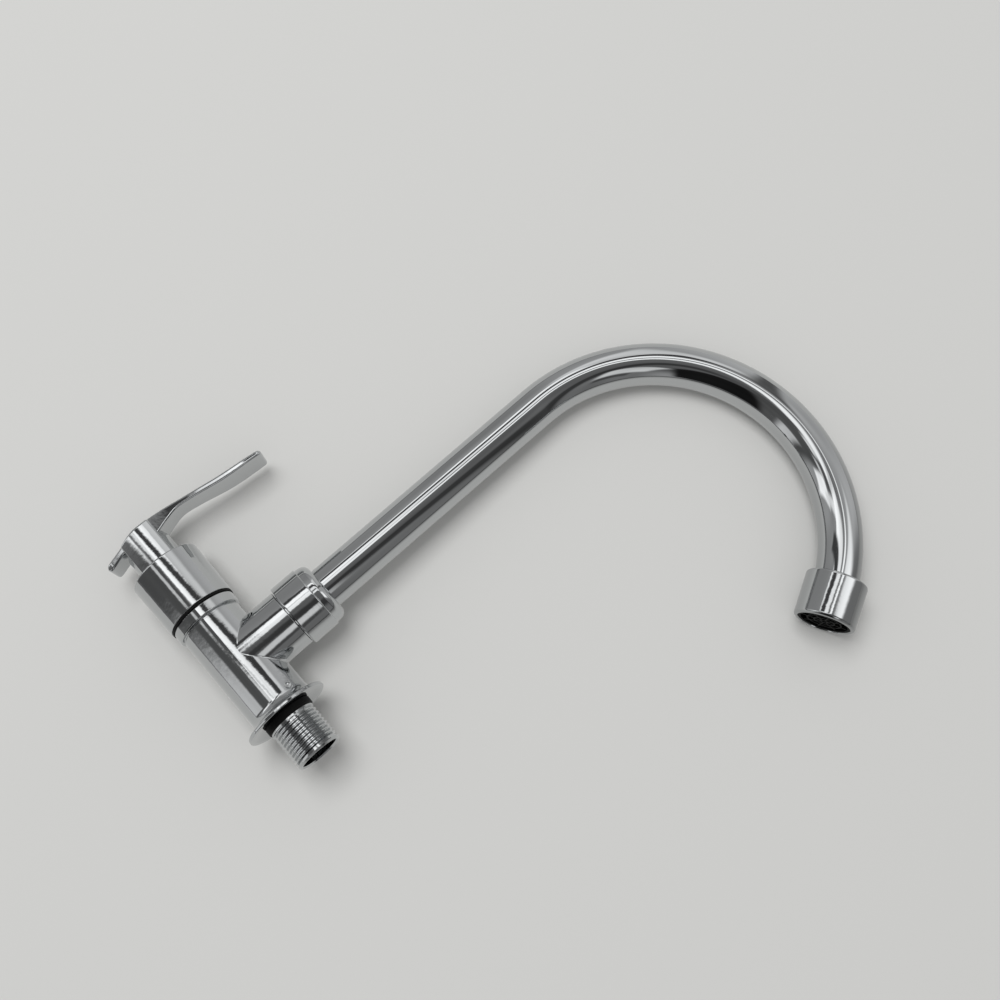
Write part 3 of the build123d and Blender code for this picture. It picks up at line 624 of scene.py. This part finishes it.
def plug_grid():
    """A round cap that follows the bow's face: y = bow's line + proud * dome.

    Dome = the square root of 1 - (ring / radius) to a high power, so it falls only at the rim.
    """
    ring = plug_radius * np.sin(np.linspace(0, np.pi / 2, plug_rings))
    angle = np.linspace(0, 2 * np.pi, plug_turns, endpoint=False)
    x, z = ring[:, None] * np.cos(angle), ring[:, None] * np.sin(angle)
    dome = plug_proud * np.sqrt(np.maximum(1 - (ring / plug_radius) ** plug_rim_power, 0))
    y = hub_end_y + smooth_line(bow_outer, z) - dome[:, None]
    face = np.stack([x, y, z], axis=-1)
    back = face[::-1].copy()
    back[:, :, 1] = hub_end_y + plug_depth
    return np.vstack([face, back])


dressed["index_plug"] = skin("index_plug_cap", [plug_grid()], "index_plug", ring=False)

# %% [markdown]
# ## Colours and shader nodes
#
# A colour is easiest to name as it looks on screen, as an sRGB hex value. Shaders work in linear
# light, so one function turns the one into the other. A second small function adds a shader
# node with its settings and links, which keeps each finish short.


# %% Colours and nodes
def linear(hex_colour):
    """Linear colour of an sRGB hex value: each channel is ((c + 0.055) / 1.055) to the 2.4."""
    srgb = np.array([int(hex_colour[i:i + 2], 16) for i in (1, 3, 5)]) / 255
    high = ((srgb + 0.055) / 1.055) ** 2.4
    return (*np.where(srgb <= 0.04045, srgb / 12.92, high), 1.0)


def add(material, kind, inputs, **settings):
    """A new node. An input is a plain value, or a socket that is linked to it."""
    node = material.node_tree.nodes.new(kind)
    for name, value in settings.items():
        setattr(node, name, value)
    for name, value in inputs.items():
        if isinstance(value, bpy.types.NodeSocket):
            material.node_tree.links.new(value, node.inputs[name])
        else:
            node.inputs[name].default_value = value
    return node


def new_material(name):
    """An empty material with only its output."""
    material = bpy.data.materials.new(name)
    material.use_nodes = True
    material.node_tree.nodes.clear()
    return material, material.node_tree.nodes.new("ShaderNodeOutputMaterial")


print("middle grey in linear light:", round(float(linear("#808080")[0]), 3))

# %% [markdown]
# ## A surface with a grain
#
# No real finish is the same all over. Casting, polishing, moulding and turning each leave marks
# of their own size, which change how sharply the surface mirrors and which way it faces. One
# noise of that size can do both, because in a real surface the two come from the same marks.
# An image of scratches would do it too, but a noise has no seams and no end.


# %% Surface
def surface(
    name, colour, metallic, roughness, spread, grain_mm, height_mm,
    stretch=(1, 1, 1), along=None, detail=2.0, specular=0.5, rough_area=None,
):
    """A finish whose roughness and height follow one noise of the given grain size.

    Roughness = roughness + spread * noise, and height = height_mm * noise. The noise reads
    Object coordinates, or the attribute named by along, and stretch scales them. A rough area
    is a function that adds roughness in one place.
    """
    material, output = new_material(name)
    if along:
        place = add(material, "ShaderNodeAttribute", {}, attribute_name=along).outputs["Vector"]
    else:
        place = add(material, "ShaderNodeTexCoord", {}).outputs["Object"]
    place = add(material, "ShaderNodeMapping", {
        "Vector": place, "Scale": stretch,
    }).outputs["Vector"]
    noise = add(material, "ShaderNodeTexNoise", {
        "Vector": place, "Scale": 1 / (grain_mm * mm), "Detail": detail,
    })
    rough = add(material, "ShaderNodeMapRange", {
        "Value": noise.outputs["Fac"], "To Min": roughness, "To Max": roughness + spread,
    }).outputs["Result"]
    if rough_area:
        rough = rough_area(material, rough)
    bump = add(material, "ShaderNodeBump", {
        "Height": noise.outputs["Fac"], "Distance": height_mm * mm,
    })
    shader = add(material, "ShaderNodeBsdfPrincipled", {
        "Base Color": linear(colour), "Metallic": metallic, "Roughness": rough,
        "Specular IOR Level": specular, "Normal": bump.outputs["Normal"],
    })
    material.node_tree.links.new(shader.outputs["BSDF"], output.inputs["Surface"])
    return material


# %% [markdown]
# ## The thread's plating
#
# The body is one casting in one finish, but the wheel that polished it couldn't reach into its
# thread, so the plate is duller there. A second material would need the casting's faces sorted
# into two groups. It is simpler to ask, at each point, whether it lies past the flange and
# below the spout, and to add some roughness where both are true.

# %% Thread area
thread_start_y, thread_reach_z, thread_roughness = 2.6, 14.0, 0.035


def on_the_thread(material, roughness):
    """Roughness + thread's roughness * (y is past the flange) * (z is below the limit)."""
    place = add(material, "ShaderNodeTexCoord", {}).outputs["Object"]
    axis = add(material, "ShaderNodeSeparateXYZ", {"Vector": place}).outputs
    past = add(material, "ShaderNodeMath", {
        0: axis["Y"], 1: thread_start_y * mm,
    }, operation="GREATER_THAN").outputs[0]
    low = add(material, "ShaderNodeMath", {
        0: axis["Z"], 1: thread_reach_z * mm,
    }, operation="LESS_THAN").outputs[0]
    both = add(material, "ShaderNodeMath", {0: past, 1: low}, operation="MULTIPLY").outputs[0]
    return add(material, "ShaderNodeMath", {
        0: both, 1: thread_roughness, 2: roughness,
    }, operation="MULTIPLY_ADD").outputs[0]


print("duller plate past y =", thread_start_y, "mm")

# %% [markdown]
# ## The finishes
#
# Chrome plate is a hard mirror over copper and nickel. On a casting that was polished by hand
# it is very slightly wavy, which makes the edges of reflections wander. On a drawn tube the
# waves run along the draw. Inside, brass is turned, seals are moulded, and discs are lapped.
# Each finish starts from typical values for its material. The waves and grains are drawn a
# little coarser than real ones where a real one would be too fine to show.

# %% Finishes
finishes = {
    # A hard, bright mirror whose reflections have edges that wander a little.
    "chrome": surface(
        "polished_chrome_plate", "#C3C5C6", metallic=1.0, roughness=0.03, spread=0.04,
        grain_mm=4.0, height_mm=0.035, detail=3.0, rough_area=on_the_thread,
    ),
    # The same plate on drawn tube: long, straight reflections that waver only along the draw.
    "chrome_tube": surface(
        "drawn_chrome_tube", "#C3C5C6", metallic=1.0, roughness=0.03, spread=0.03,
        grain_mm=5.0, height_mm=0.007, stretch=(0.12, 1, 1), along="straight", detail=3.0,
    ),
    # A warm metal with soft highlights, blurred by the lathe's fine grooves.
    "brass": surface(
        "turned_brass", "#C9A868", metallic=1.0, roughness=0.25, spread=0.1,
        grain_mm=0.6, height_mm=0.01,
    ),
    # A cooler, darker metal with the satin look of rolled and pressed sheet.
    "steel": surface(
        "stainless_steel", "#8A8A88", metallic=1.0, roughness=0.3, spread=0.1,
        grain_mm=0.5, height_mm=0.005,
    ),
    # A dense white with a wet-looking sheen, because its faces are lapped flat.
    "ceramic": surface(
        "lapped_alumina", "#EFEBDF", metallic=0.0, roughness=0.12, spread=0.05,
        grain_mm=0.4, height_mm=0.002,
    ),
    # Nearly black and matt, with hardly a highlight.
    "black_rubber": surface(
        "moulded_nitrile_rubber", "#0B0B0B", metallic=0.0, roughness=0.5, spread=0.2,
        grain_mm=0.5, height_mm=0.02, specular=0.2,
    ),
    # Black with a faint, even sheen from the mould.
    "black_plastic": surface(
        "moulded_black_acetal", "#060606", metallic=0.0, roughness=0.5, spread=0.15,
        grain_mm=0.4, height_mm=0.01, specular=0.15,
    ),
    # A milky, slightly waxy white.
    "white_plastic": surface(
        "natural_acetal", "#E6E4DA", metallic=0.0, roughness=0.35, spread=0.1,
        grain_mm=0.5, height_mm=0.01,
    ),
    # A clear blue with a sharp gloss, the sign for cold water.
    "blue_plastic": surface(
        "glossy_blue_cap", "#1F4FA3", metallic=0.0, roughness=0.12, spread=0.08,
        grain_mm=1.0, height_mm=0.01,
    ),
}

# %% Dress the pieces
for node, piece in frame["nodes"].items():
    for i in range(len(piece.material_slots)):
        piece.material_slots[i].material = finishes[slot_of[node]]
for node, piece in dressed.items():
    piece.data.materials.append(finishes[slot_of[node]])
print("finishes:", ", ".join(finishes))

# %% [markdown]
# ## The table
#
# The tap lies on a pale, matt table, which the chrome mirrors along its lower half. The table
# is tilted a little in the tap's frame, because the tap rests on its flange, its nut and the
# outlet. Seen from behind it would hide the tap, so its back is clear. Close under the tap the
# table is in shadow, and a mirror that sees only that shadow goes black, so the table that the
# chrome mirrors is given part of its own glow, a painted light seen only in the mirror. In the
# mirror alone it is also painted dimmer past the thread, a painted shade for where the chrome
# sees it at a low angle and looks away from the window.

# %% Place of the table
table_x, table_y_slope, table_z_slope = -19.0 * mm, -0.036, 0.048
table_half = 0.62
table_middle = np.array([0.04, 0.09])
table_normal = np.array([1.0, -table_y_slope, -table_z_slope])
table_normal /= np.linalg.norm(table_normal)


def stage_piece(name, points, faces, material):
    """A mesh that belongs to the stage and not to the tap."""
    mesh = bpy.data.meshes.new(name)
    mesh.from_pydata(points, [], faces)
    mesh.materials.append(material)
    piece = bpy.data.objects.new(name, mesh)
    scene.collection.objects.link(piece)
    return piece


print("the table tilts by", np.round(np.degrees(np.arccos(table_normal[0])), 1), "degrees")

# %% Tone of the table, with painted shade in the mirror
table_colour = linear("#CCCCCA")
dim_from_y, dim_to_y, dim_share = 0.03, 0.22, 0.45
table_paint, table_output = new_material("pale_matt_table")
table_place = add(table_paint, "ShaderNodeTexCoord", {}).outputs["Object"]
past_thread = add(table_paint, "ShaderNodeSeparateXYZ", {"Vector": table_place}).outputs["Y"]
# Painted shade: in the mirror only, the table is painted darker with y past the thread, down to
# dim_share of its colour.
painted_shade_by_y = add(table_paint, "ShaderNodeMapRange", {
    "Value": past_thread, "From Min": dim_from_y, "From Max": dim_to_y,
    "To Min": 1.0, "To Max": dim_share,
}).outputs["Result"]
mirrored = add(table_paint, "ShaderNodeLightPath", {}).outputs["Is Glossy Ray"]
mirror_shade_share = add(table_paint, "ShaderNodeMapRange", {
    "Value": mirrored, "To Min": 1.0, "To Max": painted_shade_by_y,
}).outputs["Result"]
tone = add(table_paint, "ShaderNodeVectorMath", {
    0: table_colour[:3], "Scale": mirror_shade_share,
}, operation="SCALE").outputs["Vector"]
print("mirrored tone past the thread:", dim_share, "of the colour")

# %% Table
glow_strength = 0.95
mirrored_glow = 0.6
matt = add(table_paint, "ShaderNodeBsdfDiffuse", {"Color": tone}).outputs["BSDF"]
# Painted light: in the mirror only, the table also glows, so the shadow under the tap shows grey
# and not black.
table_glow = add(table_paint, "ShaderNodeEmission", {
    "Color": tone, "Strength": glow_strength,
}).outputs["Emission"]
glow_share = add(table_paint, "ShaderNodeMath", {
    0: mirrored, 1: mirrored_glow,
}, operation="MULTIPLY").outputs[0]
front = add(table_paint, "ShaderNodeMixShader", {
    0: glow_share, 1: matt, 2: table_glow,
}).outputs["Shader"]
clear = add(table_paint, "ShaderNodeBsdfTransparent", {}).outputs["BSDF"]
behind = add(table_paint, "ShaderNodeNewGeometry", {}).outputs["Backfacing"]
both_sides = add(table_paint, "ShaderNodeMixShader", {0: behind, 1: front, 2: clear})
table_paint.node_tree.links.new(both_sides.outputs["Shader"], table_output.inputs["Surface"])
table_corners = table_middle + table_half * np.array([(-1, -1), (1, -1), (1, 1), (-1, 1)])
table_heights = table_x + table_corners @ np.array([table_y_slope, table_z_slope])
table = stage_piece(
    "table", np.column_stack([table_heights, table_corners]), [(0, 1, 2, 3)], table_paint
)
print("table normal:", np.round(np.array(table.data.polygons[0].normal), 3))

# %% [markdown]
# ## The room
#
# A chrome tap on a white table would be white if all around it were white. Its darks are the
# room: a dim band along the horizon, dark corners, and grey walls. Its whites are a window with
# bars, and a lamp. A large dome holds that picture. It is seen only in reflections, and it
# shines by itself, so it neither lights nor shades the table. An image of a studio would be
# quicker, but it could not be moved about, pane by pane, until each band on the chrome lies
# where the real one lies.
#
# A direction on the dome has three parts: x up from the table, y towards the thread and z
# towards the spout's bend. Each pane is a soft rectangle in y and z. Its upright borders may
# lean or curve, as the straight frame of a near window does when it is drawn on a dome.

# %% Panes
# Slope and curve of the upright borders, y range, z range, softness, brightness.
walls = [
    ((0, 0), (0.50, 1.5), (-0.5, 1.2), 0.30, 0.22),  # dim wall past the thread
    ((0, 0), (-1.2, -0.80), (-0.4, 0.3), 0.30, 0.30),  # wall past the lever
    ((0, 0), (-0.60, 0.45), (0.55, 1.2), 0.20, 0.55),  # pale wall past the bend
    ((0, 0), (-0.06, 0.70), (-2, 0.36), 0.20, 0.16),  # dim wall on the thread's side
    ((1.3, 0), (0.28, 0.60), (-0.30, 0.36), 0.16, 0.055),  # dark, leaning post in front of it
    ((0, 0), (-0.46, 0.14), (-1.2, -0.14), 0.14, 0.11),  # dark wall past the body's foot
    ((0, 0), (-0.31, -0.12), (-1.2, -0.74), 0.10, 0.80),  # pale strip low on that wall
]
windows = [
    ((0, 0), (-0.64, -0.22), (0.36, 0.72), 0.10, 0.92),  # upper light of the window
    ((-0.2, 0), (-0.06, 0.04), (0.52, 1.2), 0.06, 0.12),  # dark post beside it
    ((0, 0), (0.55, 0.79), (-0.40, -0.01), 0.08, 0.85),  # pale panel past the thread
    ((0, 0), (0.82, 0.91), (-0.30, -0.02), 0.05, 0.09),  # its dark frame
    ((0.25, 0), (-0.53, -0.33), (-0.70, -0.36), 0.06, 1.5),  # lower pane, wide
    ((0.5, 0), (-0.41, -0.33), (-0.50, -0.06), 0.05, 1.2),  # lower pane, narrow
    ((0.2, 0), (-0.23, -0.14), (-0.30, -0.06), 0.05, 1.0),  # lower pane, short
    ((0, 0), (-0.43, -0.33), (-0.43, -0.31), 0.06, 0.8),  # cross bar between them
    ((0.3, 0), (-0.62, -0.06), (-0.11, 0.42), 0.04, 1.5),  # the main pane
    ((0.75, 0.45), (-0.28, -0.24), (-0.11, 0.12), 0.04, 0.8),  # its bar, lower half
    ((0.75, 0.45), (-0.32, -0.24), (0.13, 0.38), 0.05, 0.25),  # its bar, upper half
    ((0.75, 0.45), (-0.60, -0.455), (-0.25, 0.58), 0.05, 0.07),  # dark side of the frame
    ((0, 0), (0.16, 0.56), (0.40, 0.70), 0.12, 1.35),  # lamp past the bend
]
print("panes:", len(walls) + len(windows))


# %% Painting with panes
def pane(y, z, y_range, z_range, soft):
    """1 inside a rectangle of directions and 0 outside, with soft borders.

    A border is t * t * (3 - 2 * t), with t rising from 0 to 1 across the softness.
    """
    inside = 1.0
    for value, (low, high) in ((y, y_range), (z, z_range)):
        rise = np.clip((value - low) / soft + 0.5, 0, 1)
        fall = np.clip((high - value) / soft + 0.5, 0, 1)
        inside = inside * rise * rise * (3 - 2 * rise) * fall * fall * (3 - 2 * fall)
    return inside


def painted(light, share, brightness):
    """Light * (1 - share) + brightness * share."""
    return light * (1 - share) + brightness * share


def hung(light, y, z, panes):
    """The light with each pane painted over it; its y is y - slope * z + curve * z squared."""
    for (slope, curve), y_range, z_range, soft, brightness in panes:
        leaning = y - slope * z + curve * z ** 2
        light = painted(light, pane(leaning, z, y_range, z_range, soft), brightness)
    return light


print("a pane's share in its middle and on its border:", pane(0, 0, (-1, 1), (-1, 1), 0.1),
      pane(1, 0, (-1, 1), (-1, 1), 0.1))

# %% Light of the room
wall_light = 0.40
corner_from_y, corner_to_z, corner_slope, corner_limit = 0.06, -0.36, 0.8, 0.22
corner_soft, corner_lowest, corner_light = 0.10, 0.12, 0.012
waves = [(0.08, 11, 5), (0.06, -7, 19)]
horizon_up, horizon_half = 0.02, 0.05
horizon_end_z, horizon_fade_z = 0.7, 0.3
horizon_change_y, horizon_near_light, horizon_far_light = 0.3, 0.18, 0.05
everywhere = (-2, 2)


def room_light(direction):
    """Brightness of the room in each direction.

    Grey walls, a dark corner cut off by a slanted line, windows, two slow waves that keep the
    walls from being flat, and the dim band at the table's horizon, laid on in this order.
    """
    up = direction @ table_normal
    y, z = direction[..., 1], direction[..., 2]
    light = hung(wall_light + 0 * y, y, z, walls)
    corner = pane(y, z, (corner_from_y, 2), (-2, corner_to_z), corner_soft)
    cut = pane(y + corner_slope * z, z, (-2, corner_limit), everywhere, corner_soft)
    light = painted(light, corner * cut * (up > corner_lowest), corner_light)
    light = hung(light, y, z, windows)
    uneven = 1 + sum(size * np.sin(along_y * y + along_z * z) for size, along_y, along_z in waves)
    band = np.clip(1 - np.abs(up - horizon_up) / horizon_half, 0, 1)
    band = band * np.clip((horizon_end_z - z) / horizon_fade_z, 0, 1)
    band_light = np.where(y > horizon_change_y, horizon_far_light, horizon_near_light)
    return painted(light * uneven, band, band_light)


towards = np.array([(1.0, 0.0, 0.0), (0.8, -0.6, 0.0), (0.8, 0.6, 0.0)])
print("room straight up, to the lever and to the thread:", np.round(room_light(towards), 2))

# %% Room dome
dome_radius = 1.7
dome_centre = np.array([0.0, 0.03, 0.08])
dome_rows, dome_columns = 180, 360
polar = np.linspace(0, np.pi, dome_rows)[:, None]
azimuth = np.linspace(0, 2 * np.pi, dome_columns, endpoint=False)[None, :]
direction = np.stack([
    np.cos(polar) + 0 * azimuth, np.sin(polar) * np.cos(azimuth), np.sin(polar) * np.sin(azimuth),
], axis=-1)
room_paint, room_output = new_material("room_seen_in_chrome")
painted_light = add(room_paint, "ShaderNodeAttribute", {}, attribute_name="light").outputs["Color"]
shine = add(room_paint, "ShaderNodeEmission", {"Color": painted_light, "Strength": 1.0})
room_paint.node_tree.links.new(shine.outputs["Emission"], room_output.inputs["Surface"])
dome_points = (dome_centre + dome_radius * direction).reshape(-1, 3)
room = stage_piece("room", dome_points, grid_faces(dome_rows, dome_columns, False), room_paint)
brightness = np.repeat(room_light(direction).reshape(-1, 1), 4, axis=1)
brightness[:, 3] = 1
layer = room.data.attributes.new("light", "FLOAT_COLOR", "POINT")
layer.data.foreach_set("color", brightness.astype(np.float32).ravel())
room.visible_camera = False
room.visible_diffuse = False
room.visible_shadow = False
print("room: mean brightness", round(float(brightness[:, 0].mean()), 3))

# %% [markdown]
# ## The light
#
# The light itself is plain and soft: an even glow all round, and one large lamp from the side of
# the window, which gives the shadows their direction. Together they light a colour to about
# the value that it is written with.

# %% World
world_strength = 0.85
world = bpy.data.worlds.new("studio")
scene.world = world
world.use_nodes = True
background = world.node_tree.nodes["Background"]
background.inputs["Color"].default_value = linear("#D2D2D2")
background.inputs["Strength"].default_value = world_strength
print("world strength:", world_strength)

# %% Lamp
lamp_place = Vector((2.4, -0.75, 0.05))
lamp_aim = Vector((0.0, 0.0, 0.08))
lamp_side, lamp_power = 1.4, 36.0
lamp_data = bpy.data.lights.new("window_lamp", "AREA")
lamp_data.shape = "RECTANGLE"
lamp_data.size, lamp_data.size_y, lamp_data.energy = lamp_side, lamp_side, lamp_power
lamp = bpy.data.objects.new("window_lamp", lamp_data)
scene.collection.objects.link(lamp)
away = (lamp_place - lamp_aim).normalized()
across = Vector((0, 0, 1)).cross(away).normalized()
lamp_turn = Matrix((across, away.cross(across), away)).transposed()
lamp.matrix_world = Matrix.Translation(lamp_place) @ lamp_turn.to_4x4()
lamp.visible_glossy = False
print("lamp:", lamp_power, "W from", round((lamp_place - lamp_aim).length, 2), "m")
